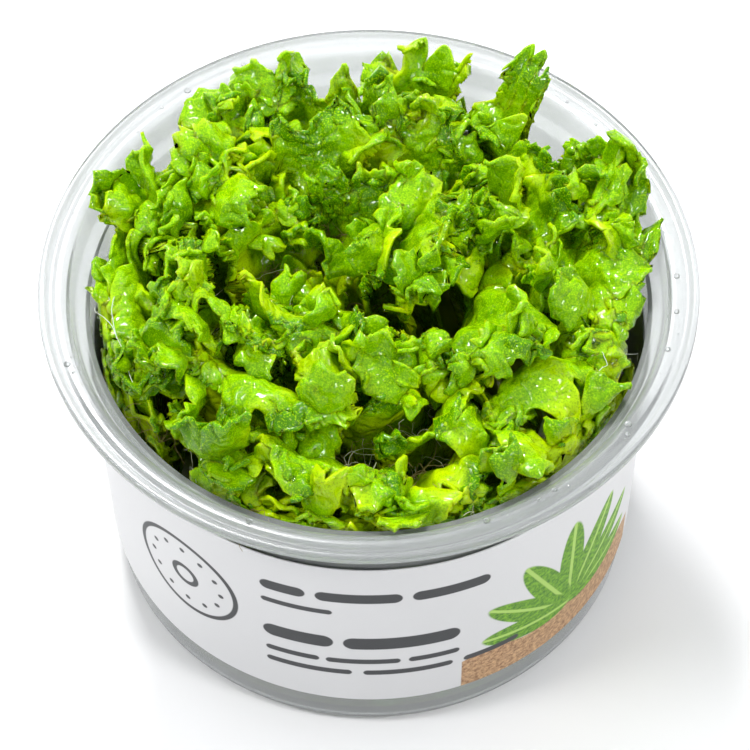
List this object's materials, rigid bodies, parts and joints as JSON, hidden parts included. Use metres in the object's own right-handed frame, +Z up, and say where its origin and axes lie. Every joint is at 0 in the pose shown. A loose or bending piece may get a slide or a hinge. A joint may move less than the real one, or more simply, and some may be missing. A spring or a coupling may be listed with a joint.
{
  "type": "tissue culture liverwort in a clear cup",
  "caption": "Dense bunch of ruffled green liverwort thalli growing on nutrient gel in an open clear plastic cup with a paper wrap label.",
  "frame": {"origin": "on the cup's axis, in the plane that its base stands on", "axes": "+Z up along the cup's axis, -Y towards the label's front"},
  "size_m": [0.1, 0.1, 0.0732],
  "materials": {
    "clear_plastic": "clear smooth thin-walled plastic",
    "label_paper": null,
    "nutrient_gel": "translucent olive jelly",
    "thallus": "wet glossy translucent plant tissue, yellow green to deep green"
  },
  "bodies": {
    "root": {"cup": "clear_plastic", "label": "label_paper", "gel": "nutrient_gel", "thallus_01": "thallus", "thallus_02": "thallus", "thallus_03": "thallus", "thallus_04": "thallus", "thallus_05": "thallus", "thallus_06": "thallus", "thallus_07": "thallus", "thallus_08": "thallus", "thallus_09": "thallus", "thallus_10": "thallus", "thallus_11": "thallus", "thallus_12": "thallus", "thallus_13": "thallus", "thallus_14": "thallus", "thallus_15": "thallus", "thallus_16": "thallus", "thallus_17": "thallus", "thallus_18": "thallus", "thallus_19": "thallus", "thallus_20": "thallus", "thallus_21": "thallus", "thallus_22": "thallus", "thallus_23": "thallus", "thallus_24": "thallus", "thallus_25": "thallus", "thallus_26": "thallus", "thallus_27": "thallus", "thallus_28": "thallus", "thallus_29": "thallus", "thallus_30": "thallus", "thallus_31": "thallus", "thallus_32": "thallus", "thallus_33": "thallus", "thallus_34": "thallus", "thallus_35": "thallus", "thallus_36": "thallus", "thallus_37": "thallus", "thallus_38": "thallus", "thallus_39": "thallus", "thallus_40": "thallus", "thallus_41": "thallus", "thallus_42": "thallus", "thallus_43": "thallus", "thallus_44": "thallus", "thallus_45": "thallus", "thallus_46": "thallus", "thallus_47": "thallus", "thallus_48": "thallus"}
  },
  "joints": []
}
